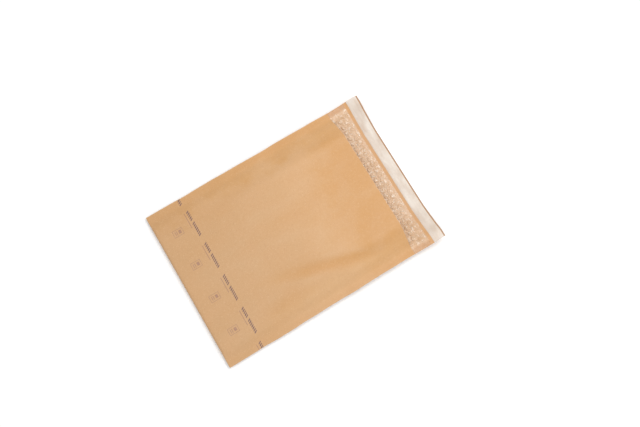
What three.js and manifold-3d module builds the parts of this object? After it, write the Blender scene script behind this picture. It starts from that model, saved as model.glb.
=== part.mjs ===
// Padded mailing envelope, lying on its back with the mouth standing open.
//
// One web of kraft paper is folded at the closed end into a front panel, a back panel and a closing
// flap. A bubble film lines the whole pocket and runs a little way onto the flap. The two long sides
// are welded flat. The flap carries a strip of adhesive under a full-width peel-off liner.
//
// Millimetres. X runs across the pocket, Y from the folded end to the flap, Z up. The origin lies on
// the table under the middle of the envelope.

import * as THREE from "three";
import { mergeVertices } from "three/addons/utils/BufferGeometryUtils.js";
import Module from "manifold-3d";

const wasm = await Module();
wasm.setup();

// Outline of the flat envelope
const bagWidth = 290;
const panelLength = 360; // folded end to mouth
const flapLength = 60;
const seamWidth = 10; // welded strip along each long side

// Layers, from the outside in
const paperThickness = 0.4;
const glueLine = 0.2; // clearance kept between layers that are stuck together
const filmThickness = 0.4;
const bubbleHeight = 3.2;
const paddingClearance = 0.8; // between the two linings where the pocket is shut

// Bubbles. The rows beside the mouth are modelled one by one, and the lining is plain padding deeper in.
const bubbleDiameter = 9.6;
const bubblePitch = 11;
const bubbleTopDiameter = 7;
const bubbleSides = 6;
const bubbleRoot = 0.3; // how deep a bubble is let into its film
const bubbleRowsInside = 1;
const paddingStep = 1; // the plain padding ends in a step this long

// How the pocket stands open
const mouthGap = 25; // free height between the linings at the mouth
const shoulderWidth = 50; // front panel sloping down to a side seam
const crushWidth = 14; // padding thinning out beside a seam
const liftWidth = 62; // back panel lifting off the table beside a seam
const seamLift = 8; // rise of the side seams from the folded end to the mouth
const flapCornerCurl = 4; // extra lift of the flap's outer corners
const rampStart = 14; // from the folded end to where the front starts to rise
const rampLength = 262; // how far it rises before it runs level to the mouth
const sidePull = 3.5; // each side drawn in at the mouth by the bulge
const mouthBow = 2; // middle of the front panel's edge standing out past its corners

// Closing flap, measured along it
const liningReach = 33; // lining past the mouth
const linerMargin = 2.5; // bare paper outside the liner
const linerWidth = 19;
const linerThickness = 0.3;
const adhesiveWidth = 15;
const adhesiveThickness = 0.3;
const adhesiveEndInset = 3; // adhesive stopping short of each side

// Side welds, inside the lining
const weldInset = 1; // weld stopping short of the seam's edges and ends
const weldBite = 0.1; // how deep a weld reaches into each film

// Grid of the sheets
const shoulderCells = 6; // across each sloping side
const crushCells = 2; // across the padding that thins out beside a seam
const foldCells = 6; // round the folded end
const rampCells = 8; // along the rising front, and the back below it
const flapCells = 2; // along the lining on the flap
const closestLines = 0.4; // grid lines nearer than this are merged

// Derived places, as depths from the outer face of the paper and distances from the folded end
const halfWidth = bagWidth / 2;
const seamLine = halfWidth - seamWidth;
const totalLength = panelLength + flapLength;
const filmOuter = paperThickness + glueLine;
const filmInner = filmOuter + filmThickness;
const adhesiveInner = filmOuter + adhesiveThickness;
const linerOuter = adhesiveInner + glueLine;
const linerInner = linerOuter + linerThickness;
const seamHalf = filmInner + glueLine / 2;
const padHalf = filmInner + bubbleHeight + paddingClearance / 2;
const rowPitch = (bubblePitch * Math.sqrt(3)) / 2;
const firstRow = panelLength - bubblePitch / 2; // row of bubbles just inside the mouth
const bubbleZone = firstRow - (bubbleRowsInside - 1) * rowPitch - bubblePitch / 2;
const liningEnd = panelLength + liningReach;
const linerEnd = totalLength - linerMargin;
const linerStart = linerEnd - linerWidth;
const adhesiveStart = linerStart + (linerWidth - adhesiveWidth) / 2;
const adhesiveEnd = adhesiveStart + adhesiveWidth;

const { lerp, smoothstep } = THREE.MathUtils;

// Shape of the opened pocket. x is the distance from the centre line on the flat sheet, and y the
// distance from the folded end.

// 0 on the welded strip, 1 where the padding has its full height.
const padding = (x) => smoothstep(seamLine - Math.abs(x), 0, crushWidth);

// 0 at a side seam, 1 where the front panel runs level across the mouth.
const shoulder = (x) => smoothstep(seamLine - Math.abs(x), 0, shoulderWidth);

// Half of the thickness of the shut pocket, and the radius of the fold.
const halfThickness = (x) => lerp(seamHalf, padHalf, padding(x));

// Heights of the outer faces over the table.
function backHeight(x, y) {
  const lifted = seamLift * smoothstep(y, 0, panelLength);
  const curled = flapCornerCurl * smoothstep(y, panelLength, totalLength);
  const towardsSeam = smoothstep(Math.abs(x), seamLine - liftWidth, seamLine);
  return padHalf - halfThickness(x) + (lifted + curled) * towardsSeam;
}

function frontHeight(x, y) {
  const rise = smoothstep(y, rampStart, rampStart + rampLength);
  return backHeight(x, y) + 2 * halfThickness(x) + mouthGap * rise * shoulder(x);
}

// A point on the outer face of the folded paper. run is the distance along the sheet from the crest
// of the fold, negative on the front panel and positive on the back panel and flap.
function outerPoint(x, run) {
  const radius = halfThickness(x);
  const onFront = run < 0;
  let y, z;
  if (Math.abs(run) < padHalf) {
    const turn = ((run / padHalf) * Math.PI) / 2;
    y = radius * (1 - Math.cos(turn));
    z = backHeight(x, radius) + radius * (1 - Math.sin(turn));
  } else {
    const end = onFront ? panelLength : totalLength;
    y = lerp(radius, end, (Math.abs(run) - padHalf) / (end - padHalf));
    z = onFront ? frontHeight(x, y) : backHeight(x, y);
  }
  const towardsMouth = smoothstep(y, 0, panelLength);
  const bow = onFront ? mouthBow * towardsMouth * shoulder(x) : 0;
  const drawnIn = 1 - (sidePull / halfWidth) * towardsMouth;
  return new THREE.Vector3(x * drawnIn, y + bow - totalLength / 2, z);
}

// A point that lies depth inside the outer face of the paper.
function layerPoint(x, run, depth) {
  const nudge = 0.05;
  const across = outerPoint(x + nudge, run).sub(outerPoint(x - nudge, run));
  const along = outerPoint(x, run + nudge).sub(outerPoint(x, run - nudge));
  return outerPoint(x, run).addScaledVector(across.cross(along).normalize(), depth);
}

// Grid lines of the sheets. All layers share them, so their facets stay parallel.
function sorted(values) {
  const inOrder = values.sort((a, b) => a - b);
  return inOrder.filter((value, i) => i === 0 || value - inOrder[i - 1] > closestLines);
}

function spread(from, to, count) {
  return Array.from({ length: count + 1 }, (_, i) => lerp(from, to, i / count));
}

const halfColumns = sorted([
  ...spread(seamLine - liftWidth, seamLine - crushWidth, shoulderCells),
  ...spread(seamLine - crushWidth, seamLine, crushCells),
  halfWidth - weldInset,
  halfWidth,
]);
const columns = sorted([...halfColumns.map((x) => -x), ...halfColumns]);

const rampRows = spread(rampStart, rampStart + rampLength, rampCells);
const panelRows = sorted([
  ...rampRows.filter((y) => y < bubbleZone - paddingStep),
  bubbleZone - paddingStep,
  bubbleZone,
  panelLength,
]);
const flapRows = [
  ...spread(panelLength, liningEnd, flapCells),
  linerStart,
  adhesiveStart,
  adhesiveEnd,
  linerEnd,
  totalLength,
];
const foldRows = spread(-padHalf, padHalf, foldCells);
const rows = sorted([...panelRows.map((y) => -y), ...foldRows, ...panelRows, ...flapRows]);

function between(values, from, to) {
  return values.filter((value) => value >= from - closestLines && value <= to + closestLines);
}

// A point on the flat facets of a layer, which bubbles stand on.
function facetPoint(x, run, depth) {
  const i = columns.findIndex((value) => value > x) - 1;
  const j = rows.findIndex((value) => value > run) - 1;
  const u = (x - columns[i]) / (columns[i + 1] - columns[i]);
  const v = (run - rows[j]) / (rows[j + 1] - rows[j]);
  const corner = (di, dj, share) =>
    layerPoint(columns[i + di], rows[j + dj], depth).multiplyScalar(share);
  const middle = u > v ? corner(1, 0, u - v) : corner(0, 1, v - u);
  return middle.add(corner(0, 0, 1 - Math.max(u, v))).add(corner(1, 1, Math.min(u, v)));
}

// A closed slab over the grid. place(x, y, level) gives a corner, on the outer face at level 0 and on
// the inner face at level 1. Both faces split their cells along the same diagonal.
function gridSlab(xs, ys, place) {
  const lastX = xs.length - 1;
  const lastY = ys.length - 1;
  const corners = [0, 1].flatMap((level) =>
    xs.flatMap((x) => ys.flatMap((y) => place(x, y, level).toArray())),
  );
  const at = (level, i, j) => (level * xs.length + i) * ys.length + j;
  const triangles = [];
  const quad = (a, b, c, d) => triangles.push(a, b, c, a, c, d);
  for (let i = 0; i < lastX; i++) {
    for (let j = 0; j < lastY; j++) {
      quad(at(0, i, j), at(0, i, j + 1), at(0, i + 1, j + 1), at(0, i + 1, j));
      quad(at(1, i + 1, j + 1), at(1, i, j + 1), at(1, i, j), at(1, i + 1, j));
    }
    quad(at(0, i, 0), at(0, i + 1, 0), at(1, i + 1, 0), at(1, i, 0));
    quad(at(0, i + 1, lastY), at(0, i, lastY), at(1, i, lastY), at(1, i + 1, lastY));
  }
  for (let j = 0; j < lastY; j++) {
    quad(at(0, 0, j + 1), at(0, 0, j), at(1, 0, j), at(1, 0, j + 1));
    quad(at(0, lastX, j), at(0, lastX, j + 1), at(1, lastX, j + 1), at(1, lastX, j));
  }
  const slab = new THREE.BufferGeometry();
  slab.setAttribute("position", new THREE.Float32BufferAttribute(corners, 3));
  slab.setIndex(triangles);
  slab.computeVertexNormals();
  return slab;
}

// A layer that follows the folded sheet between two depths, each a number or a function of x and run.
function layer(xs, runs, outerDepth, innerDepth) {
  const depthOf = (depth, x, run) => (typeof depth === "function" ? depth(x, run) : depth);
  return gridSlab(xs, runs, (x, run, level) =>
    layerPoint(x, run, depthOf(level ? innerDepth : outerDepth, x, run)),
  );
}

// Manifold solids and back
function toSolid(geometry) {
  const bare = geometry.clone();
  bare.deleteAttribute("normal");
  bare.deleteAttribute("uv");
  const merged = mergeVertices(bare, 1e-4);
  return new wasm.Manifold(
    new wasm.Mesh({
      numProp: 3,
      vertProperties: new Float32Array(merged.getAttribute("position").array),
      triVerts: new Uint32Array(merged.index.array),
    }),
  );
}

function toGeometry(solid) {
  const mesh = solid.getMesh();
  const geometry = new THREE.BufferGeometry();
  geometry.setAttribute("position", new THREE.BufferAttribute(mesh.vertProperties, 3));
  geometry.setIndex(new THREE.BufferAttribute(mesh.triVerts, 1));
  geometry.computeVertexNormals();
  return geometry;
}

// Kraft cover: front panel, fold, back panel and flap in one sheet
function kraftCover() {
  return layer(columns, rows, 0, paperThickness);
}

// One bubble on the lining, squashed where it lies beside a seam
function bubble(x, run) {
  const shape = new THREE.CylinderGeometry(bubbleTopDiameter / 2, bubbleDiameter / 2, 1, bubbleSides);
  const corners = shape.getAttribute("position");
  for (let i = 0; i < corners.count; i++) {
    const height = (bubbleRoot + bubbleHeight * padding(x)) * (corners.getY(i) + 0.5);
    const depth = filmInner - bubbleRoot + height;
    const point = facetPoint(x + corners.getX(i), run - corners.getZ(i), depth);
    corners.setXYZ(i, point.x, point.y, point.z);
  }
  return shape;
}

// Rows of bubbles beside the mouth, on the flap and on the inner faces of both panels
function bubbles() {
  const made = [];
  const reach = seamLine - bubbleDiameter / 2;
  const rowsOnFlap = Math.floor((liningEnd - bubbleDiameter / 2 - firstRow) / rowPitch);
  for (let row = 1 - bubbleRowsInside; row <= rowsOnFlap; row++) {
    const y = firstRow + row * rowPitch;
    const shift = row % 2 ? bubblePitch / 2 : 0;
    const last = Math.floor((reach - shift) / bubblePitch);
    const first = -Math.floor((reach + shift) / bubblePitch);
    for (let column = first; column <= last; column++) {
      const x = column * bubblePitch + shift;
      made.push(bubble(x, y));
      if (row <= 0) made.push(bubble(x, -y));
    }
  }
  return made;
}

// The weld that shuts one long side, from the fold to the mouth. The front and the back panel have
// the same grid lines, so the weld keeps its bite in both films all the way.
function sideWeld(side) {
  const xs = [seamLine + weldInset, halfWidth - weldInset].map((x) => x * side).sort((a, b) => a - b);
  const ys = rows.filter((run) => run > seamHalf && run < panelLength - weldInset);
  return gridSlab(xs, ys, (x, run, level) =>
    layerPoint(x, level ? -run : run, filmInner - weldBite),
  );
}

// Bubble lining: one folded film, welded shut along both sides
function bubbleLining() {
  const padded = (x, run) =>
    filmInner + (Math.abs(run) < bubbleZone - closestLines ? bubbleHeight * padding(x) : 0);
  const film = layer(columns, between(rows, -panelLength, liningEnd), filmOuter, padded);
  const pieces = [film, sideWeld(-1), sideWeld(1), ...bubbles()].map(toSolid);
  return toGeometry(wasm.Manifold.union(pieces));
}

function adhesiveStrip() {
  const reach = halfWidth - adhesiveEndInset;
  const xs = [-reach, ...columns.filter((x) => Math.abs(x) < reach - closestLines), reach];
  return layer(xs, between(rows, adhesiveStart, adhesiveEnd), filmOuter, adhesiveInner);
}

function releaseLiner() {
  return layer(columns, between(rows, linerStart, linerEnd), linerOuter, linerInner);
}

const kraft = new THREE.MeshStandardMaterial({ color: 0xdcae7c, roughness: 0.85, metalness: 0 });
const clearFilm = new THREE.MeshStandardMaterial({ color: 0xe3c3a1, roughness: 0.25, metalness: 0 });
const hotMelt = new THREE.MeshStandardMaterial({ color: 0xd9b98a, roughness: 0.3, metalness: 0 });
const siliconePaper = new THREE.MeshStandardMaterial({ color: 0xe9dfd6, roughness: 0.35, metalness: 0 });

const envelope = new THREE.Group();

function addPiece(name, geometry, material) {
  const piece = new THREE.Mesh(geometry, material);
  piece.name = name;
  envelope.add(piece);
}

addPiece("kraft_cover", kraftCover(), kraft);
addPiece("bubble_lining", bubbleLining(), clearFilm);
addPiece("adhesive_strip", adhesiveStrip(), hotMelt);
addPiece("release_liner", releaseLiner(), siliconePaper);

export default envelope;
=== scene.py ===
"""Looks of a padded mailing envelope: paper cover, bubble lining, adhesive strip and release liner.

Every layer follows one surface, the outer face of the folded paper, at its own depth below it. The
surface is worked out in millimetres on the flat sheet, with x across the envelope and run along the
sheet from the crest of the fold, negative on the front panel and positive on the back and the flap.
"""

import math

import bpy
import numpy as np
from mathutils import Matrix, Vector


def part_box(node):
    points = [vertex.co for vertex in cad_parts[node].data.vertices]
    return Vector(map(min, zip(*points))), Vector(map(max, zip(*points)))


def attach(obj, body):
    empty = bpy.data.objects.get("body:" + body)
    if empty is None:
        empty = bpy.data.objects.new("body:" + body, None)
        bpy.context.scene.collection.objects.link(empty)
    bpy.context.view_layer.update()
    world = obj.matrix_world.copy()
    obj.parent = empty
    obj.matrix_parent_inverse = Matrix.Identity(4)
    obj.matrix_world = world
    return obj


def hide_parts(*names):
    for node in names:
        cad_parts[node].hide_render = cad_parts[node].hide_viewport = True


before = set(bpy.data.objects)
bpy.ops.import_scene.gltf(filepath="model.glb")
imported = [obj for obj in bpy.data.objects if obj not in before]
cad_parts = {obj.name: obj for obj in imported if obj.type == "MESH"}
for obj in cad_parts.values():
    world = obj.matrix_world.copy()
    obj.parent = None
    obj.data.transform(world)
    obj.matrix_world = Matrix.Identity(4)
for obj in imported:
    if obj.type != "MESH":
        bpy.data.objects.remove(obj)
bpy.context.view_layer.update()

MM = 0.001
BODY = "root"

# Outline of the envelope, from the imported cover
cover_low, cover_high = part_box("kraft_cover")
HALF_WIDTH = cover_high.x / MM
TOTAL_LENGTH = (cover_high.y - cover_low.y) / MM
FLAP_LENGTH = 60
PANEL_LENGTH = TOTAL_LENGTH - FLAP_LENGTH
SEAM_WIDTH = 10
SEAM_LINE = HALF_WIDTH - SEAM_WIDTH

# Half the thickness of the closed envelope, on a seam and where the padding is full
SEAM_HALF = 0.5
PAD_HALF = 4.6

# Depths below the outer face of the paper
PAPER_INNER = 0.25
FILM_OUTER = 0.3
FILM_INNER = 0.42
ADHESIVE_INNER = 0.5
LINER_EDGE = 0.3
LINER_OUTER = 0.56

# Form of the opened pocket
MOUTH_GAP = 25  # rise of the front panel at the mouth
RAMP_START = 14  # start of that rise, from the folded end
RAMP_LENGTH = 262
SHOULDER_WIDTH = 50  # from a seam to where the front panel runs level
CRUSH_WIDTH = 20  # from a seam to where the padding is full
LIFT_WIDTH = 62  # from a seam to where the back panel lies flat
SEAM_REST = 0.6  # rise of the seams at the fold
SEAM_LIFT = 8  # further rise of the seams at the mouth
FLAP_CORNER_CURL = 4  # further rise of the flap's corners
SIDE_PULL = 2  # each side drawn in at the mouth
MOUTH_BOW = 2  # the front panel's edge further out in the middle than at its ends
FOLD_SKEW = 3  # the fold's left end short of its right end

# Waves along the side seams: wavelength, phase, share of the height
SEAM_WAVES = [(137, 0.6, 1.0), (71, 2.9, 0.6), (39, 4.4, 0.3)]
SEAM_SWAY = 0.7  # up and down
SEAM_WANDER = 0.35  # in and out
WANDER_START = 40  # from the folded end to where the seams wander in full

# Soft forms of the front panel: x, y from the folded end, half length, half width, turn from the
# length of the envelope in degrees, height
SOFT_FORMS = [
    (90, 236, 92, 11, -17, -3.0),
    (70, 236, 92, 12, -17, 0.8),
    (-117, 290, 62, 12, -9, -1.5),
    (46, 215, 70, 34, -24, 1.1),
    (-62, 250, 90, 30, -8, 0.7),
    (8, 120, 80, 26, -35, -0.7),
    (-70, 95, 50, 22, 40, 0.5),
    (70, 80, 46, 20, 15, 0.5),
]

# Long waves in the paper: wavelength, direction in degrees, phase, height
PAPER_WAVES = [
    (155, 20, 0.4, 0.30),
    (118, 74, 2.1, 0.26),
    (83, 132, 4.0, 0.16),
    (61, 48, 1.2, 0.11),
    (44, 101, 5.2, 0.07),
]

# Short puckers of the paper beside the seams, as waves along them
PUCKER_WAVES = [(17.3, 0.2, 1.0), (11.9, 3.1, 0.8), (27.1, 1.7, 0.9)]
PUCKER_HEIGHT = 1.1
PUCKER_REACH = 16

# Bubble film
BUBBLE_RADIUS = 4.8
BUBBLE_PITCH = 11
BUBBLE_HEIGHT = 3.3
ROW_PITCH = BUBBLE_PITCH * math.sqrt(3) / 2
FIRST_ROW = PANEL_LENGTH - BUBBLE_PITCH / 2
LINING_END = PANEL_LENGTH + 33
PRINT_THROUGH = 0.15  # height of the bubbles that show through the paper

# Form of a bubble: its rings from the film up, as shares of its radius and its height, and its tip
BUBBLE_RINGS = [(1.0, -0.02), (0.97, 0.5), (0.83, 0.86), (0.5, 1.0)]
BUBBLE_TIP = 1.03
BUBBLE_SEGMENTS = 12

# Shares of the full height that a bubble has or loses, and the lean of its top
LEAST_FILLED = 0.82
LEFT_BESIDE_SEAM = 0.12
CRUSHED_ON_FLAP = (0.6, 0.9)
DEEPEST_DIMPLE = 0.65
BUBBLE_LEAN = 0.35

# Strip on the flap
LINER_END = TOTAL_LENGTH - 2.5
LINER_START = LINER_END - 19
LINER_THICKNESS = 0.12
LINER_RIPPLE = 0.04
LINER_CURL = 0.2
LINER_CURL_REACH = 12
ADHESIVE_START = LINER_START + 2
ADHESIVE_END = LINER_END - 2
ADHESIVE_REACH = HALF_WIDTH - 3
ADHESIVE_RIPPLE = 0.03

# Printed marks on the front panel, in rows measured from the folded end
MARK_ROW = 66
MARK_PITCH = 63
MARK_SHIFT = 31.5
LABEL_ROW = 35.5
PRINT_SOFTNESS = 0.25

# Parts of one mark, each as its middle in the row and its half size
MARK_HALF_HEIGHT = 2.5
HATCHED_BARS = [((-15.7, 0), (9.2, MARK_HALF_HEIGHT)), ((10.2, 0), (13, MARK_HALF_HEIGHT))]
HATCH_PITCH = 3.7
HATCH_HALF = 1.05
HATCH_SLANT = 0.6
THIN_LINE = ((-8, -6.4), (14, 0.55))

# Parts of the label below it: a frame with a block and two lines
LABEL_MIDDLE = (0.5, 0)
LABEL_HALF_SIZE = (6.2, 9)
FRAME_LINE_WIDTH = 0.7
LABEL_PARTS = [((0.5, 3.6), (3, 2.4)), ((0.5, -2), (3.6, 0.6)), ((0.5, -4.8), (3.6, 0.6))]

# Where the front panel is more golden: along its left side, by the mouth, in its long dent and low
# down on its right; in the dent that darker golden is painted shade. The places are x, y from the
# folded end, half length, half width, turn, strength
GOLDEN_SIDE_REACH = 55
GOLDEN_MOUTH_REACH = 130
GOLDEN_MOUTH_STRENGTH = 0.8
GOLDEN_AND_SHADED_PLACES = [
    (90, 236, 92, 11, -17, 1.0),
    (100, 138, 46, 14, 0, 0.6),
]
GOLDEN_SPREAD = 1.8  # reach of a place, in its half sizes
GOLDEN_RAGGED = 20
GOLDEN_STRENGTH = 0.9

# Reach of the painted shade towards the fold, and start and end of the painted light on the slopes beside
# the seams
FOLD_SHADE_REACH = 240
SLOPE_LIGHT_RANGE = (50, 220)

# Ribs pressed into the side seams
SEAL_RIB_PITCH = 2.2

# Colours of the paper
GOLDEN_AND_SHADED_KRAFT = (0.568, 0.298, 0.106, 1)
PALE_KRAFT = (0.622, 0.390, 0.208, 1)
# Painted shade towards the fold
FOLD_SHADE_KRAFT = (0.487, 0.285, 0.131, 1)
BLOTCHED_KRAFT = (0.598, 0.334, 0.158, 1)
MOTTLED_KRAFT = (0.52, 0.28, 0.125, 1)
# Painted light on the slopes beside the seams
SLOPE_LIGHT_KRAFT = (0.70, 0.43, 0.205, 1)
WORN_KRAFT = (0.68, 0.45, 0.26, 1)
INNER_KRAFT = (0.60, 0.31, 0.13, 1)
# Painted shadow along the flap's edge beyond the liner
SHADED_MARGIN_KRAFT = (0.29, 0.155, 0.08, 1)
DARK_FIBRE = (0.36, 0.18, 0.08, 1)
PALE_FIBRE = (0.78, 0.56, 0.35, 1)
DARK_INK = (0.055, 0.028, 0.070, 1)
FAINT_INK = (0.22, 0.10, 0.11, 1)

# Colours of the film, the adhesive and the liner
CLEAR_FILM = (0.655, 0.408, 0.216, 1)
HAZY_FILM = (0.73, 0.512, 0.325, 1)
SEALED_FILM = (0.625, 0.36, 0.18, 1)
# Whitish crease whitening with painted glints and rim reflections
CREASE_AND_GLINT_FILM = (0.94, 0.885, 0.81, 1)
DARK_AMBER = (0.60, 0.34, 0.15, 1)
PALE_AMBER = (0.74, 0.48, 0.26, 1)
THIN_MILK = (0.78, 0.64, 0.52, 1)
THICK_MILK = (0.84, 0.77, 0.69, 1)
WORN_LINER = (0.86, 0.82, 0.78, 1)


# Surface of the folded sheet


def smoothstep(value, low, high):
    share = np.clip((value - low) / (high - low), 0, 1)
    return share * share * (3 - 2 * share)


def padding(x):
    """0 on the welded seams, 1 where the padding has its full height."""
    return smoothstep(SEAM_LINE - np.abs(x), 0, CRUSH_WIDTH)


def shoulder(x):
    """0 at a side seam, 1 where the front panel runs level across the mouth."""
    return smoothstep(SEAM_LINE - np.abs(x), 0, SHOULDER_WIDTH)


def half_thickness(x):
    return SEAM_HALF + (PAD_HALF - SEAM_HALF) * padding(x)


def along_direction(x, y, degrees):
    """How far places lie along a direction, in degrees from across towards along the envelope."""
    angle = math.radians(degrees)
    return x * math.cos(angle) + y * math.sin(angle)


def waves_along(y, waves, side_shift):
    """Sum of waves along the envelope, out of step on its two sides."""
    total = 0
    for length, phase, share in waves:
        total = total + share * np.sin(2 * math.pi * y / length + phase + side_shift)
    return total


def paper_waves(x, y):
    total = 0
    for length, direction, phase, height in PAPER_WAVES:
        along = along_direction(x, y, direction)
        total = total + height * np.sin(2 * math.pi * along / length + phase)
    return total


def soft_forms(x, y):
    total = 0
    for middle_x, middle_y, half_length, half_width, turn, height in SOFT_FORMS:
        across = along_direction(x - middle_x, y - middle_y, turn)
        along = along_direction(x - middle_x, y - middle_y, turn + 90)
        total = total + height * np.exp(-((across / half_width) ** 2) - (along / half_length) ** 2)
    return total


def back_height(x, y):
    lifted = SEAM_REST + SEAM_LIFT * smoothstep(y, 0, PANEL_LENGTH)
    curled = FLAP_CORNER_CURL * smoothstep(y, PANEL_LENGTH, TOTAL_LENGTH)
    towards_seam = smoothstep(np.abs(x), SEAM_LINE - LIFT_WIDTH, SEAM_LINE)
    sway = SEAM_SWAY * waves_along(y, SEAM_WAVES, np.sign(x)) * smoothstep(y, 0, RAMP_LENGTH)
    return PAD_HALF - half_thickness(x) + (lifted + curled + sway) * towards_seam


def front_height(x, y):
    rise = smoothstep(y, RAMP_START, RAMP_START + RAMP_LENGTH)
    slack = (soft_forms(x, y) + paper_waves(x, y)) * smoothstep(y, 0, RAMP_START + RAMP_LENGTH / 2)
    loose = slack * smoothstep(SEAM_LINE - np.abs(x), -SEAM_WIDTH / 2, SHOULDER_WIDTH / 2)
    return back_height(x, y) + 2 * half_thickness(x) + MOUTH_GAP * rise * shoulder(x) + loose


def outer_point(x, run):
    """Points on the outer face of the folded paper, in millimetres."""
    radius = half_thickness(x)
    on_front = run < 0
    turn = np.clip(run / PAD_HALF, -1, 1) * math.pi / 2
    end = np.where(on_front, PANEL_LENGTH, TOTAL_LENGTH)
    flat_y = radius + (end - radius) * (np.abs(run) - PAD_HALF) / (end - PAD_HALF)
    in_fold = np.abs(run) < PAD_HALF
    y = np.where(in_fold, radius * (1 - np.cos(turn)), flat_y)
    fold_z = back_height(x, radius) + radius * (1 - np.sin(turn))
    z = np.where(in_fold, fold_z, np.where(on_front, front_height(x, y), back_height(x, y)))
    towards_mouth = smoothstep(y, 0, PANEL_LENGTH)
    bow = np.where(on_front, MOUTH_BOW * towards_mouth * shoulder(x), 0)
    skew = FOLD_SKEW * (1 - x / HALF_WIDTH) / 2 * (1 - towards_mouth)
    wander = SEAM_WANDER * waves_along(y, SEAM_WAVES, 2 * np.sign(x)) * (x / HALF_WIDTH) ** 2
    drawn_in = x * (1 - SIDE_PULL / HALF_WIDTH * towards_mouth)
    across = drawn_in + wander * smoothstep(y, 0, WANDER_START)
    return np.stack([across, y + bow + skew - TOTAL_LENGTH / 2, z], axis=-1)


def layer_points(x, run, depth):
    """Points that lie depth inside the outer face of the paper."""
    nudge = 0.05
    across = outer_point(x + nudge, run) - outer_point(x - nudge, run)
    along = outer_point(x, run + nudge) - outer_point(x, run - nudge)
    inward = np.cross(across, along)
    inward /= np.linalg.norm(inward, axis=-1, keepdims=True)
    return outer_point(x, run) + np.asarray(depth)[..., None] * inward


def bubble_lattice(x, y):
    """1 over the middle of each bubble and below 0 between them, as three waves at 60 degrees."""
    per_millimetre = 4 * math.pi / (math.sqrt(3) * BUBBLE_PITCH)
    waves = [np.cos(per_millimetre * along_direction(x, y - FIRST_ROW, turn)) for turn in (30, 90, 150)]
    return sum(waves) / len(waves)


def paper_relief(x, run):
    """Height of the paper's outer face over its plain surface: bubbles showing through, and puckers."""
    y = np.abs(run)
    inside_lining = smoothstep(LINING_END - run, 0, BUBBLE_PITCH) * smoothstep(y, PAD_HALF, 3 * PAD_HALF)
    print_through = PRINT_THROUGH * np.clip(bubble_lattice(x, y), 0, 1)
    highest_wave = sum(share for _, _, share in PUCKER_WAVES)
    raised = (1 + waves_along(y, PUCKER_WAVES, 3 * np.sign(x)) / highest_wave) / 2
    from_seam = (SEAM_LINE - np.abs(x)) / PUCKER_REACH
    puckers = PUCKER_HEIGHT * raised * np.exp(-(from_seam**2))
    return (print_through + puckers) * padding(x) * inside_lining


# Meshes


def make_object(name, points, faces, sheet, material, smooth_angle=40):
    """A mesh object from points in millimetres. sheet is x, run and the height over the sheet, 0 to 1."""
    mesh = bpy.data.meshes.new(name)
    mesh.from_pydata((points * MM).tolist(), [], faces)
    mesh.polygons.foreach_set("use_smooth", np.ones(len(mesh.polygons), bool))
    mesh.set_sharp_from_angle(angle=math.radians(smooth_angle))
    x, run, height = (np.ravel(part) for part in sheet)
    place = mesh.attributes.new("sheet", "FLOAT_VECTOR", "POINT")
    values = np.stack([x * MM, run * MM, height], axis=-1)
    place.data.foreach_set("vector", values.astype(np.float32).ravel())
    mesh.materials.append(material)
    obj = bpy.data.objects.new(name, mesh)
    bpy.context.scene.collection.objects.link(obj)
    return obj


def sheet_piece(name, xs, runs, outer_depth, inner_depth, material):
    """A closed sheet between two depths. A depth is a number or a function of x and run."""
    x, run = np.meshgrid(xs, runs, indexing="ij")
    points = []
    for depth in (outer_depth, inner_depth):
        depth_here = depth(x, run) if callable(depth) else np.full(x.shape, float(depth))
        points.append(layer_points(x, run, depth_here).reshape(-1, 3))
    sheet = (np.tile(x.ravel(), 2), np.tile(run.ravel(), 2), np.repeat([0.0, 1.0], x.size))
    last_x, last_run = len(xs) - 1, len(runs) - 1

    def at(level, i, j):
        return (level * len(xs) + i) * len(runs) + j

    a, b = np.arange(last_x), np.arange(last_run)
    i, j = (part.ravel() for part in np.meshgrid(a, b, indexing="ij"))
    faces = [
        (at(0, i, j), at(0, i, j + 1), at(0, i + 1, j + 1), at(0, i + 1, j)),
        (at(1, i + 1, j + 1), at(1, i, j + 1), at(1, i, j), at(1, i + 1, j)),
        (at(0, a, 0), at(0, a + 1, 0), at(1, a + 1, 0), at(1, a, 0)),
        (at(0, a + 1, last_run), at(0, a, last_run), at(1, a, last_run), at(1, a + 1, last_run)),
        (at(0, 0, b + 1), at(0, 0, b), at(1, 0, b), at(1, 0, b + 1)),
        (at(0, last_x, b), at(0, last_x, b + 1), at(1, last_x, b + 1), at(1, last_x, b)),
    ]
    quads = np.concatenate([np.stack(corners, axis=-1) for corners in faces])
    return make_object(name, np.concatenate(points), quads.tolist(), sheet, material)


def steps(low, high, size):
    """Evenly spaced places from low to high, about size apart."""
    return np.linspace(low, high, max(2, round((high - low) / size) + 1))


def across_sheet(step, side_step=1.5):
    """Grid lines across the envelope, with closer ones where the padding thins out."""
    middle = steps(-SEAM_LINE + CRUSH_WIDTH, SEAM_LINE - CRUSH_WIDTH, step)
    side = steps(SEAM_LINE - CRUSH_WIDTH, HALF_WIDTH, side_step)[1:]
    return np.concatenate([-side[::-1], middle, side])


def along_sheet(low, high, step, fold_step=0.6):
    """Grid lines along the sheet, with closer ones round the fold."""
    fold = steps(-PAD_HALF, PAD_HALF, fold_step)
    front = steps(low, -PAD_HALF, step)[:-1]
    back = steps(PAD_HALF, high, step)[1:]
    return np.concatenate([front, fold, back])


def kraft_cover(material):
    return sheet_piece(
        "paper_cover",
        across_sheet(step=2.6),
        along_sheet(-PANEL_LENGTH, TOTAL_LENGTH, step=2.4),
        lambda x, run: -paper_relief(x, run),
        PAPER_INNER,
        material,
    )


def lining_film(material):
    return sheet_piece(
        "lining_film",
        across_sheet(step=3.4),
        along_sheet(-PANEL_LENGTH, LINING_END, step=3),
        FILM_OUTER,
        FILM_INNER,
        material,
    )


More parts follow.
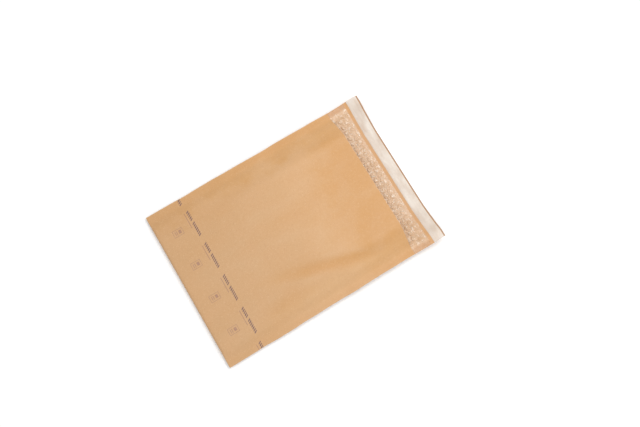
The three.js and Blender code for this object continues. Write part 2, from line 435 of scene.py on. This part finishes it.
def bubble_places():
    """Places of the bubbles on the flat sheet, in staggered rows up both panels and onto the flap."""
    places = []
    lowest = -math.floor((FIRST_ROW - 2 * BUBBLE_RADIUS) / ROW_PITCH)
    highest = math.floor((LINING_END - BUBBLE_RADIUS - FIRST_ROW) / ROW_PITCH)
    reach = SEAM_LINE - BUBBLE_RADIUS
    for row in range(lowest, highest + 1):
        y = FIRST_ROW + row * ROW_PITCH
        shift = BUBBLE_PITCH / 2 if row % 2 else 0
        first = -math.floor((reach + shift) / BUBBLE_PITCH)
        for column in range(first, math.floor((reach - shift) / BUBBLE_PITCH) + 1):
            x = column * BUBBLE_PITCH + shift
            places.append((x, y))
            if row <= 0:
                places.append((x, -y))
    return np.array(places)


def dome_points():
    """Points of one bubble: how far they lie from its middle across and along, and their height."""
    angle = np.arange(BUBBLE_SEGMENTS) * 2 * math.pi / BUBBLE_SEGMENTS
    ring_radius, ring_height = np.array(BUBBLE_RINGS).T
    across = np.append(np.outer(ring_radius * BUBBLE_RADIUS, np.cos(angle)), 0)
    along = np.append(np.outer(ring_radius * BUBBLE_RADIUS, np.sin(angle)), 0)
    return across, along, np.append(np.repeat(ring_height, BUBBLE_SEGMENTS), BUBBLE_TIP)


def dome_faces():
    """Faces of one bubble: bands between its rings, a cap round its tip and a base."""
    faces = []
    top = (len(BUBBLE_RINGS) - 1) * BUBBLE_SEGMENTS
    tip = top + BUBBLE_SEGMENTS
    for ring_start in range(0, top, BUBBLE_SEGMENTS):
        for s in range(BUBBLE_SEGMENTS):
            here, beside = ring_start + s, ring_start + (s + 1) % BUBBLE_SEGMENTS
            faces.append((here, beside, beside + BUBBLE_SEGMENTS, here + BUBBLE_SEGMENTS))
    faces += [(top + s, top + (s + 1) % BUBBLE_SEGMENTS, tip) for s in range(BUBBLE_SEGMENTS)]
    faces.append(tuple(range(BUBBLE_SEGMENTS - 1, -1, -1)))
    return faces


def lining_bubbles(material):
    """Air bubbles standing on the film: low round domes, full in the pocket and crumpled on the flap."""
    places = bubble_places()
    count = len(places)
    across, along, share = dome_points()
    random = np.random.default_rng(5)
    on_flap = smoothstep(places[:, 1], PANEL_LENGTH, PANEL_LENGTH + 2 * BUBBLE_PITCH)
    crushed = 1 - on_flap * random.uniform(*CRUSHED_ON_FLAP, count)
    padded = np.maximum(padding(places[:, 0]), LEFT_BESIDE_SEAM)
    fullness = random.uniform(LEAST_FILLED, 1.0, count) * padded * crushed
    lean = random.uniform(-BUBBLE_LEAN, BUBBLE_LEAN, (count, 2))
    dimples = 1 - on_flap[:, None] * random.uniform(0, DEEPEST_DIMPLE, (count, share.size))
    x = places[:, :1] + across + lean[:, :1] * share
    run = places[:, 1:] + along + lean[:, 1:] * share
    depth = FILM_INNER + BUBBLE_HEIGHT * fullness[:, None] * share * dimples
    points = layer_points(x, run, depth).reshape(-1, 3)
    sheet = (x, run, np.broadcast_to(share, x.shape))
    one = dome_faces()
    faces = [[corner + k * share.size for corner in face] for k in range(count) for face in one]
    return make_object("lining_bubbles", points, faces, sheet, material, smooth_angle=75)


def adhesive_strip(material):
    """The strip of hot melt, with a slightly uneven face."""

    def outer(x, run):
        return FILM_OUTER - ADHESIVE_RIPPLE * np.sin(x / 3.1) * np.sin(run / 1.7)

    xs = steps(-ADHESIVE_REACH, ADHESIVE_REACH, 3)
    runs = steps(ADHESIVE_START, ADHESIVE_END, 1)
    return sheet_piece("adhesive_bead", xs, runs, outer, ADHESIVE_INNER, material)


def release_liner(material):
    """The peel-off liner. It lies over the adhesive, comes down to the paper and curls at its ends."""

    def outer(x, run):
        from_edge = np.minimum(run - LINER_START, LINER_END - run)
        over_adhesive = smoothstep(from_edge, 0, ADHESIVE_START - LINER_START)
        lying = LINER_EDGE + (LINER_OUTER - LINER_EDGE) * over_adhesive
        ripple = 1.6 + np.sin(x / 13 + 0.7) + 0.6 * np.sin(x / 5.3 + run / 4)
        at_end = smoothstep(np.abs(x), HALF_WIDTH - LINER_CURL_REACH, HALF_WIDTH)
        return lying + LINER_RIPPLE * ripple + LINER_CURL * at_end * (1 + ripple)

    return sheet_piece(
        "liner_strip",
        across_sheet(step=2.4),
        steps(LINER_START, LINER_END, 0.7),
        outer,
        lambda x, run: outer(x, run) + LINER_THICKNESS,
        material,
    )


# Helpers for shader nodes


def link_in(tree, socket, value):
    """Feeds a socket with another socket or with a plain value."""
    if isinstance(value, bpy.types.NodeSocket):
        tree.links.new(value, socket)
    else:
        socket.default_value = value


def node(tree, kind, inputs=(), **settings):
    """Adds a node. inputs maps a socket's name or number to a value or to the socket that feeds it."""
    made = tree.nodes.new(kind)
    for name, value in settings.items():
        setattr(made, name, value)
    for key, value in dict(inputs).items():
        link_in(tree, made.inputs[key], value)
    return made


def maths(tree, operation, *values, clamp=False):
    made = node(tree, "ShaderNodeMath", enumerate(values), operation=operation, use_clamp=clamp)
    return made.outputs[0]


def mapped(tree, value, from_low, from_high, to_low, to_high, smooth=False):
    """A value carried from one range to another, and kept inside it."""
    made = node(
        tree,
        "ShaderNodeMapRange",
        {0: value, 1: from_low, 2: from_high, 3: to_low, 4: to_high},
        interpolation_type="SMOOTHSTEP" if smooth else "LINEAR",
    )
    return made.outputs[0]


def mixed(tree, share, first, second):
    """A colour mixed from two others."""
    made = node(tree, "ShaderNodeMix", data_type="RGBA")
    link_in(tree, made.inputs["Factor"], share)
    link_in(tree, made.inputs[6], first)
    link_in(tree, made.inputs[7], second)
    return made.outputs[2]


def tinted(tree, colour, mask, share, tint):
    """A colour with a tint laid over it where the mask is, at a share of its full strength."""
    return mixed(tree, maths(tree, "MULTIPLY", mask, share), colour, tint)


def either(tree, *masks):
    """A mask that holds all the masks given."""
    joined = masks[0]
    for mask in masks[1:]:
        joined = maths(tree, "MAXIMUM", joined, mask)
    return joined


def separated(tree, vector):
    """The three parts of a vector."""
    return node(tree, "ShaderNodeSeparateXYZ", {0: vector}).outputs


def scaled(tree, vector, scale):
    return node(tree, "ShaderNodeMapping", {"Vector": vector, "Scale": scale}).outputs[0]


def turned(tree, vector, degrees):
    values = {"Vector": vector, "Angle": math.radians(degrees)}
    return node(tree, "ShaderNodeVectorRotate", values, rotation_type="Z_AXIS").outputs[0]


def noise(tree, vector, scale, detail, roughness=0.5):
    values = {"Vector": vector, "Scale": scale, "Detail": detail, "Roughness": roughness}
    return node(tree, "ShaderNodeTexNoise", values).outputs[0]


def new_group(name, inputs, outputs):
    """An empty shader group. inputs maps names to a default number, or to None for a vector."""
    group = bpy.data.node_groups.new(name, "ShaderNodeTree")
    for socket, value in inputs.items():
        kind = "NodeSocketVector" if value is None else "NodeSocketFloat"
        made = group.interface.new_socket(socket, in_out="INPUT", socket_type=kind)
        if value is not None:
            made.default_value = value
    for socket in outputs:
        group.interface.new_socket(socket, in_out="OUTPUT", socket_type="NodeSocketFloat")
    return group, group.nodes.new("NodeGroupInput").outputs, group.nodes.new("NodeGroupOutput").inputs


def use_group(tree, group, vector, **values):
    """Places a group in a material. values are the group's own inputs, named in small letters."""
    made = node(tree, "ShaderNodeGroup", node_tree=group)
    link_in(tree, made.inputs["Vector"], vector)
    for name, value in values.items():
        link_in(tree, made.inputs[name.capitalize()], value)
    return made.outputs


# Effects shared by several materials


def fibre_group():
    """Short fibres lying in many directions, as dark flecks, pale flecks and a height."""
    inputs = {"Vector": None, "Scale": 200.0, "Density": 0.5}
    group, given, out = new_group("paper_fibres", inputs, ["Dark", "Pale", "Height"])
    length_to_width = 8
    softness = 0.07
    strands = []
    for degrees in (12, 75, 134):
        drawn_out = scaled(group, turned(group, given["Vector"], degrees), (1, length_to_width, 1))
        strands.append(noise(group, drawn_out, given["Scale"], 1.5))
    highest = maths(group, "MAXIMUM", maths(group, "MAXIMUM", strands[0], strands[1]), strands[2])
    lowest = maths(group, "MINIMUM", maths(group, "MINIMUM", strands[0], strands[1]), strands[2])
    pale_edge = mapped(group, given["Density"], 0, 1, 0.76, 0.6)
    dark_edge = maths(group, "SUBTRACT", 1, pale_edge)
    over_pale = maths(group, "SUBTRACT", highest, pale_edge)
    under_dark = maths(group, "SUBTRACT", dark_edge, lowest)
    link_in(group, out["Pale"], mapped(group, over_pale, 0, softness, 0, 1))
    link_in(group, out["Dark"], mapped(group, under_dark, 0, softness, 0, 1))
    link_in(group, out["Height"], maths(group, "ADD", highest, lowest))
    return group


def cloud_group():
    """Soft blotches, such as an uneven dye, haze in a film or ink that took unevenly."""
    inputs = {"Vector": None, "Scale": 20.0, "Contrast": 1.0}
    group, given, out = new_group("soft_clouds", inputs, ["Value"])
    blotches = noise(group, given["Vector"], given["Scale"], 3, 0.55)
    centred = maths(group, "MULTIPLY", maths(group, "SUBTRACT", blotches, 0.5), given["Contrast"])
    link_in(group, out["Value"], maths(group, "ADD", centred, 0.5, clamp=True))
    return group


def wrinkle_group():
    """Fine creases as a height. Stretch draws them out across the envelope."""
    inputs = {"Vector": None, "Scale": 60.0, "Stretch": 1.0}
    group, given, out = new_group("fine_wrinkles", inputs, ["Height"])
    crease_width = 0.12
    parts = separated(group, given["Vector"])
    shorter = maths(group, "DIVIDE", parts[0], given["Stretch"])
    vector = node(group, "ShaderNodeCombineXYZ", {0: shorter, 1: parts[1], 2: parts[2]})
    field = noise(group, vector.outputs[0], given["Scale"], 4, 0.6)
    from_crease = maths(group, "ABSOLUTE", maths(group, "SUBTRACT", field, 0.5))
    link_in(group, out["Height"], mapped(group, from_crease, 0, crease_width, 1, 0))
    return group


def edge_group():
    """1 along the sides of the sheet and 0 further in than Width, with a soft and ragged border."""
    inputs = {"Vector": None, "Width": 0.003, "Softness": 0.002}
    group, given, out = new_group("side_edges", inputs, ["Mask"])
    parts = separated(group, given["Vector"])
    inwards = maths(group, "SUBTRACT", HALF_WIDTH * MM, maths(group, "ABSOLUTE", parts[0]))
    centred = maths(group, "SUBTRACT", noise(group, given["Vector"], 120, 3), 0.5)
    ragged = maths(group, "MULTIPLY", centred, given["Softness"])
    past_width = maths(group, "SUBTRACT", maths(group, "ADD", inwards, ragged), given["Width"])
    share = maths(group, "DIVIDE", past_width, given["Softness"])
    link_in(group, out["Mask"], mapped(group, share, -1, 1, 1, 0, smooth=True))
    return group


# Materials


def new_material(name):
    """A material with its tree, its shader, its place on the flat sheet and its height above it."""
    material = bpy.data.materials.new(name)
    material.use_nodes = True
    tree = material.node_tree
    shader = tree.nodes["Principled BSDF"]
    sheet = node(tree, "ShaderNodeAttribute", attribute_name="sheet").outputs["Vector"]
    return material, tree, shader, scaled(tree, sheet, (1, 1, 0)), separated(tree, sheet)[2]


def bump(tree, shader, layers):
    """Chains bumps into the shader's normal. layers holds heights with their depths in metres."""
    normal = None
    for height, depth in layers:
        made = node(tree, "ShaderNodeBump", {"Strength": 1.0, "Distance": depth, "Height": height})
        if normal is not None:
            tree.links.new(normal, made.inputs["Normal"])
        normal = made.outputs[0]
    tree.links.new(normal, shader.inputs["Normal"])


def repeated(tree, value, pitch):
    """A value that starts again at every pitch, and is 0 in the middle of it."""
    return maths(tree, "WRAP", value, pitch / 2, -pitch / 2)


def bar(tree, x, y, middle, half_size):
    """A printed bar as a mask with a slightly soft edge. Its middle and half size are in millimetres."""
    past_edges = []
    for value, centre, half in zip((x, y), middle, half_size):
        from_middle = maths(tree, "ABSOLUTE", maths(tree, "SUBTRACT", value, centre))
        past_edges.append(maths(tree, "SUBTRACT", from_middle, half))
    return mapped(tree, maths(tree, "MAXIMUM", *past_edges), -PRINT_SOFTNESS, PRINT_SOFTNESS, 1, 0)


def printed_marks(tree, parts, outside):
    """Masks of the dark and the faint ink: pairs of hatched bars, each with a thin line and a label."""
    across = maths(tree, "SUBTRACT", maths(tree, "DIVIDE", parts[0], MM), MARK_SHIFT)
    from_fold = maths(tree, "DIVIDE", parts[1], -MM)
    x = repeated(tree, across, MARK_PITCH)
    y = maths(tree, "SUBTRACT", from_fold, MARK_ROW)
    label_y = maths(tree, "SUBTRACT", from_fold, LABEL_ROW)
    slanted = maths(tree, "ADD", x, maths(tree, "MULTIPLY", y, HATCH_SLANT))
    stroke = repeated(tree, slanted, HATCH_PITCH)
    hatch = bar(tree, stroke, y, (0, 0), (HATCH_HALF, MARK_HALF_HEIGHT))
    bars = [bar(tree, slanted, y, *part) for part in HATCHED_BARS]
    dark = maths(tree, "MULTIPLY", hatch, either(tree, *bars))
    hollow_half_size = [half - FRAME_LINE_WIDTH for half in LABEL_HALF_SIZE]
    whole_label = bar(tree, x, label_y, LABEL_MIDDLE, LABEL_HALF_SIZE)
    hollow = bar(tree, x, label_y, LABEL_MIDDLE, hollow_half_size)
    label_frame = maths(tree, "SUBTRACT", whole_label, hollow, clamp=True)
    label_parts = [bar(tree, x, label_y, *part) for part in LABEL_PARTS]
    faint = either(tree, bar(tree, x, y, *THIN_LINE), label_frame, *label_parts)
    return maths(tree, "MULTIPLY", dark, outside), maths(tree, "MULTIPLY", faint, outside)


def seal_ribs(tree, parts):
    """Fine slanted ribs that the sealing bar leaves along the side seams, as a height."""
    phase = maths(tree, "ADD", parts[0], parts[1])
    turns = maths(tree, "MULTIPLY", phase, 2 * math.pi / (SEAL_RIB_PITCH * MM))
    return mapped(tree, maths(tree, "SINE", turns), -1, 1, 0, -1)


def golden_and_shaded_places(tree, place, parts, blotch):
    """A mask of the golden parts of the front panel, with ragged borders. In the long dent it lays painted
    shade.
    """
    ragged = mapped(tree, blotch, 0, 1, -GOLDEN_RAGGED * MM, GOLDEN_RAGGED * MM)
    across, along = (maths(tree, "ADD", part, ragged) for part in parts[:2])
    side, mouth = -HALF_WIDTH * MM, -PANEL_LENGTH * MM
    masks = [
        mapped(tree, across, side, side + GOLDEN_SIDE_REACH * MM, 1, 0, smooth=True),
        mapped(tree, along, mouth, mouth + GOLDEN_MOUTH_REACH * MM, GOLDEN_MOUTH_STRENGTH, 0, smooth=True),
    ]
    for x, y, half_length, half_width, turn, strength in GOLDEN_AND_SHADED_PLACES:
        middle = (x * MM, -y * MM, 0)
        from_middle = node(tree, "ShaderNodeVectorMath", {0: place, 1: middle}, operation="SUBTRACT")
        in_line = turned(tree, from_middle.outputs[0], turn)
        in_half_sizes = scaled(tree, in_line, (1 / (half_width * MM), 1 / (half_length * MM), 1))
        distance = node(tree, "ShaderNodeVectorMath", {0: in_half_sizes}, operation="LENGTH")
        masks.append(mapped(tree, distance.outputs["Value"], 0, GOLDEN_SPREAD, strength, 0, smooth=True))
    return either(tree, *masks)


def uneven_kraft(tree, clouds, place, parts, from_fold):
    """The paper's colour: cloudy, golden in places, darker in its long dent as painted shade, and darker
    towards the fold as painted shade.
    """
    dye = use_group(tree, clouds, scaled(tree, place, (1.6, 0.6, 1)), scale=9.0, contrast=2.8)["Value"]
    blotch = use_group(tree, clouds, place, scale=26.0, contrast=2.2)["Value"]
    # In the long dent this golden mask is painted shade
    golden = maths(tree, "MULTIPLY", golden_and_shaded_places(tree, place, parts, blotch), GOLDEN_STRENGTH)
    paler = maths(tree, "SUBTRACT", mapped(tree, dye, 0, 1, 0.4, 1), golden, clamp=True)
    colour = mixed(tree, paler, GOLDEN_AND_SHADED_KRAFT, PALE_KRAFT)
    # Painted shade: the paper darker towards the fold
    fold_shade = mapped(tree, from_fold, 0, FOLD_SHADE_REACH * MM, 1, 0)
    colour = tinted(tree, colour, fold_shade, 0.7, FOLD_SHADE_KRAFT)
    return tinted(tree, colour, blotch, 0.35, BLOTCHED_KRAFT)


def with_seam_tints_and_slope_light(tree, colour, edge, place, from_fold):
    """The colour with golden seams, and with painted light on the slopes beside them where the pocket
    stands open, against their shading.
    """
    on_seam = use_group(tree, edge, place, width=0.012, softness=0.006)["Mask"]
    to_shoulder = use_group(tree, edge, place, width=0.038, softness=0.014)["Mask"]
    # Painted light: paler slopes beside the seams, against their shading
    lit_slope = maths(tree, "SUBTRACT", to_shoulder, on_seam, clamp=True)
    start, end = SLOPE_LIGHT_RANGE
    slope_light_share = mapped(tree, from_fold, start * MM, end * MM, 0, 0.26)
    colour = tinted(tree, colour, on_seam, 0.16, GOLDEN_AND_SHADED_KRAFT)
    return tinted(tree, colour, lit_slope, slope_light_share, SLOPE_LIGHT_KRAFT)


def with_ink(tree, colour, clouds, place, parts, outside):
    """The colour with the printed marks on it, in ink that took unevenly."""
    dark_ink, faint_ink = printed_marks(tree, parts, outside)
    uneven = use_group(tree, clouds, place, scale=420.0, contrast=2.2)["Value"]
    take = mapped(tree, uneven, 0, 1, 0.5, 1)
    colour = tinted(tree, colour, dark_ink, take, DARK_INK)
    return tinted(tree, colour, faint_ink, maths(tree, "MULTIPLY", take, 0.66), FAINT_INK)


def kraft_material(fibres, clouds, wrinkles, edge):
    """Brown kraft paper with loose fibres, cloudy dye, pressed seams and a row of generic marks."""
    material, tree, shader, place, level = new_material("kraft_paper")
    parts = separated(tree, place)
    from_fold = maths(tree, "ABSOLUTE", parts[1])
    mottle = use_group(tree, clouds, place, scale=130.0, contrast=1.3)["Value"]
    fleck = use_group(tree, fibres, place, scale=190.0, density=0.72)
    worn = use_group(tree, edge, place, width=0.0012, softness=0.0012)["Mask"]
    inside = maths(tree, "GREATER_THAN", level, 0.5)
    # Painted shadow: a dark line along the flap's edge beyond the liner
    shaded_margin = maths(tree, "GREATER_THAN", parts[1], (LINER_END + 0.3) * MM)
    colour = uneven_kraft(tree, clouds, place, parts, from_fold)
    colour = tinted(tree, colour, mottle, 0.1, MOTTLED_KRAFT)
    colour = with_seam_tints_and_slope_light(tree, colour, edge, place, from_fold)
    colour = tinted(tree, colour, fleck["Dark"], 0.34, DARK_FIBRE)
    colour = tinted(tree, colour, fleck["Pale"], 0.34, PALE_FIBRE)
    colour = tinted(tree, colour, worn, 0.3, WORN_KRAFT)
    colour = tinted(tree, colour, inside, 0.5, INNER_KRAFT)
    colour = tinted(tree, colour, shaded_margin, 0.8, SHADED_MARGIN_KRAFT)
    colour = with_ink(tree, colour, clouds, place, parts, maths(tree, "SUBTRACT", 1, inside))
    tree.links.new(colour, shader.inputs["Base Color"])
    tree.links.new(mapped(tree, mottle, 0, 1, 0.5, 0.66), shader.inputs["Roughness"])
    creases = use_group(tree, wrinkles, place, scale=34.0, stretch=1.4)["Height"]
    sealed = use_group(tree, edge, place, width=SEAM_WIDTH * MM, softness=0.0008)["Mask"]
    press = maths(tree, "MULTIPLY", sealed, seal_ribs(tree, parts))
    heights = [(fleck["Height"], 0.00005), (mottle, 0.00008), (creases, 0.00003), (press, 0.00006)]
    bump(tree, shader, heights)
    return material


def film_material(clouds, wrinkles, edge):
    """Clear film over kraft paper. It takes the paper's colour and is whitish where it creases, partly as
    painted glints, with a painted reflection round the foot of each bubble.
    """
    material, tree, shader, place, height = new_material("clear_bubble_film")
    haze = use_group(tree, clouds, place, scale=60.0, contrast=2.2)["Value"]
    glint_patches = use_group(tree, clouds, place, scale=170.0, contrast=4.0)["Value"]
    crinkle = use_group(tree, wrinkles, place, scale=210.0, stretch=1.8)["Height"]
    sealed = use_group(tree, edge, place, width=0.0095, softness=0.0025)["Mask"]
    # Whitish creases: partly the film's own whitening and partly painted glints
    streak = maths(tree, "MULTIPLY", mapped(tree, glint_patches, 0.5, 1, 0, 0.48), crinkle)
    # Painted reflection: a whitish ring round the foot of each bubble
    bubble_rim_reflection = mapped(tree, height, 0, 0.5, 0.3, 0, smooth=True)
    off_seam = mapped(tree, sealed, 0, 1, 1, 0.12)
    whitish = maths(tree, "MULTIPLY", either(tree, streak, bubble_rim_reflection), off_seam)
    colour = mixed(tree, haze, CLEAR_FILM, HAZY_FILM)
    colour = tinted(tree, colour, sealed, 0.7, SEALED_FILM)
    tree.links.new(mixed(tree, whitish, colour, CREASE_AND_GLINT_FILM), shader.inputs["Base Color"])

    # The film is denser at a grazing view and in its creases, and lets most of the light through
    facing = node(tree, "ShaderNodeLayerWeight", {"Blend": 0.35}).outputs["Facing"]
    body = maths(tree, "ADD", mapped(tree, facing, 0.1, 0.9, 0.55, 0.9), whitish, clamp=True)
    shadow = node(tree, "ShaderNodeLightPath").outputs["Is Shadow Ray"]
    lets_through = maths(tree, "SUBTRACT", 1, maths(tree, "MULTIPLY", shadow, 0.8))
    tree.links.new(maths(tree, "MULTIPLY", body, lets_through), shader.inputs["Alpha"])
    tree.links.new(mapped(tree, haze, 0, 1, 0.16, 0.32), shader.inputs["Roughness"])
    shader.inputs["Specular IOR Level"].default_value = 0.6
    bump(tree, shader, [(crinkle, 0.00022)])
    return material


def adhesive_material(clouds, wrinkles):
    """Amber hot melt, drawn out in streaks along the strip."""
    material, tree, shader, place, _ = new_material("amber_adhesive")
    streak = use_group(tree, clouds, scaled(tree, place, (0.25, 1, 1)), scale=260.0, contrast=2.0)["Value"]
    tree.links.new(mixed(tree, streak, DARK_AMBER, PALE_AMBER), shader.inputs["Base Color"])
    tree.links.new(mapped(tree, streak, 0, 1, 0.18, 0.34), shader.inputs["Roughness"])
    lumps = use_group(tree, wrinkles, place, scale=110.0, stretch=3.0)["Height"]
    bump(tree, shader, [(lumps, 0.0001)])
    return material


def liner_material(clouds, wrinkles, edge):
    """Thin whitish release film. The adhesive and the paper show through it faintly."""
    material, tree, shader, place, _ = new_material("release_film")
    milk = use_group(tree, clouds, scaled(tree, place, (0.4, 1, 1)), scale=70.0, contrast=1.8)["Value"]
    worn = use_group(tree, edge, place, width=0.004, softness=0.004)["Mask"]
    colour = tinted(tree, mixed(tree, milk, THIN_MILK, THICK_MILK), worn, 0.3, WORN_LINER)
    tree.links.new(colour, shader.inputs["Base Color"])
    tree.links.new(mapped(tree, milk, 0, 1, 0.58, 0.88), shader.inputs["Alpha"])
    tree.links.new(mapped(tree, milk, 0, 1, 0.42, 0.26), shader.inputs["Roughness"])
    creases = use_group(tree, wrinkles, place, scale=90.0, stretch=0.5)["Height"]
    bump(tree, shader, [(creases, 0.00016)])
    return material


# Pieces


def place_piece(piece, slot, *nodes):
    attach(piece, BODY)
    if nodes:
        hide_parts(*nodes)


def dress_envelope():
    fibres, clouds, wrinkles, edge = fibre_group(), cloud_group(), wrinkle_group(), edge_group()
    film = film_material(clouds, wrinkles, edge)
    place_piece(kraft_cover(kraft_material(fibres, clouds, wrinkles, edge)), "kraft", "kraft_cover")
    place_piece(lining_film(film), "bubble_film", "bubble_lining")
    place_piece(lining_bubbles(film), "bubble_film")
    place_piece(adhesive_strip(adhesive_material(clouds, wrinkles)), "adhesive", "adhesive_strip")
    place_piece(release_liner(liner_material(clouds, wrinkles, edge)), "liner_film", "release_liner")


# Studio, in metres


def floor():
    half_size, drop = 4.0, 0.0002
    mesh = bpy.data.meshes.new("floor")
    corners = [(-1, -1), (1, -1), (1, 1), (-1, 1)]
    mesh.from_pydata([(x * half_size, y * half_size, 0) for x, y in corners], [], [(0, 1, 2, 3)])
    obj = bpy.data.objects.new("floor", mesh)
    bpy.context.scene.collection.objects.link(obj)
    material = bpy.data.materials.new("pale_floor")
    material.use_nodes = True
    shader = material.node_tree.nodes["Principled BSDF"]
    shader.inputs["Base Color"].default_value = (0.95, 0.95, 0.95, 1)
    shader.inputs["Roughness"].default_value = 0.9
    mesh.materials.append(material)
    obj.location.z = -drop


def area_light(name, place, aim, size, watts):
    data = bpy.data.lights.new(name, "AREA")
    data.shape = "SQUARE"
    data.size = size
    data.energy = watts
    light = bpy.data.objects.new(name, data)
    light.location = place
    light.rotation_euler = (Vector(aim) - Vector(place)).to_track_quat("-Z", "Y").to_euler()
    bpy.context.scene.collection.objects.link(light)


def studio():
    """A pale floor under a bright even sky, with a soft light beyond the flap and one beyond the fold."""
    floor()
    area_light("main_softbox", place=(0, 0.85, 1.6), aim=(0, 0.05, 0), size=1.3, watts=19)
    area_light("fill_softbox", place=(0.4, -1.3, 1.9), aim=(0, 0, 0), size=1.8, watts=8)
    world = bpy.data.worlds.new("studio")
    bpy.context.scene.world = world
    world.use_nodes = True
    sky = world.node_tree.nodes["Background"]
    sky.inputs["Color"].default_value = (1, 1, 1, 1)
    sky.inputs["Strength"].default_value = 0.68
    bpy.context.scene.view_settings.view_transform = "Standard"


def camera():
    """Nearly straight above, turned so that the mouth points to the upper right of the picture."""
    azimuth, elevation, roll = (math.radians(angle) for angle in (56.07, 79.52, 2.84))
    distance, focal_pixels, picture_width, sensor_width = 1.45, 850, 640, 36
    target = Vector((-0.0005, 0.0507, 0))
    right = Vector((math.cos(azimuth), math.sin(azimuth), 0))
    level_back = Vector((math.sin(azimuth), -math.cos(azimuth), 0))
    back = math.cos(elevation) * level_back + math.sin(elevation) * Vector((0, 0, 1))
    up = back.cross(right)
    rolled_right = math.cos(roll) * right + math.sin(roll) * up
    rolled_up = -math.sin(roll) * right + math.cos(roll) * up
    data = bpy.data.cameras.new("camera")
    data.sensor_width = sensor_width
    data.lens = focal_pixels * sensor_width / picture_width
    data.clip_end = 20
    obj = bpy.data.objects.new("camera", data)
    axes = Matrix((rolled_right, rolled_up, back)).transposed().to_4x4()
    obj.matrix_world = Matrix.Translation(target + back * distance) @ axes
    bpy.context.scene.collection.objects.link(obj)
    bpy.context.scene.camera = obj


dress_envelope()
studio()
camera()
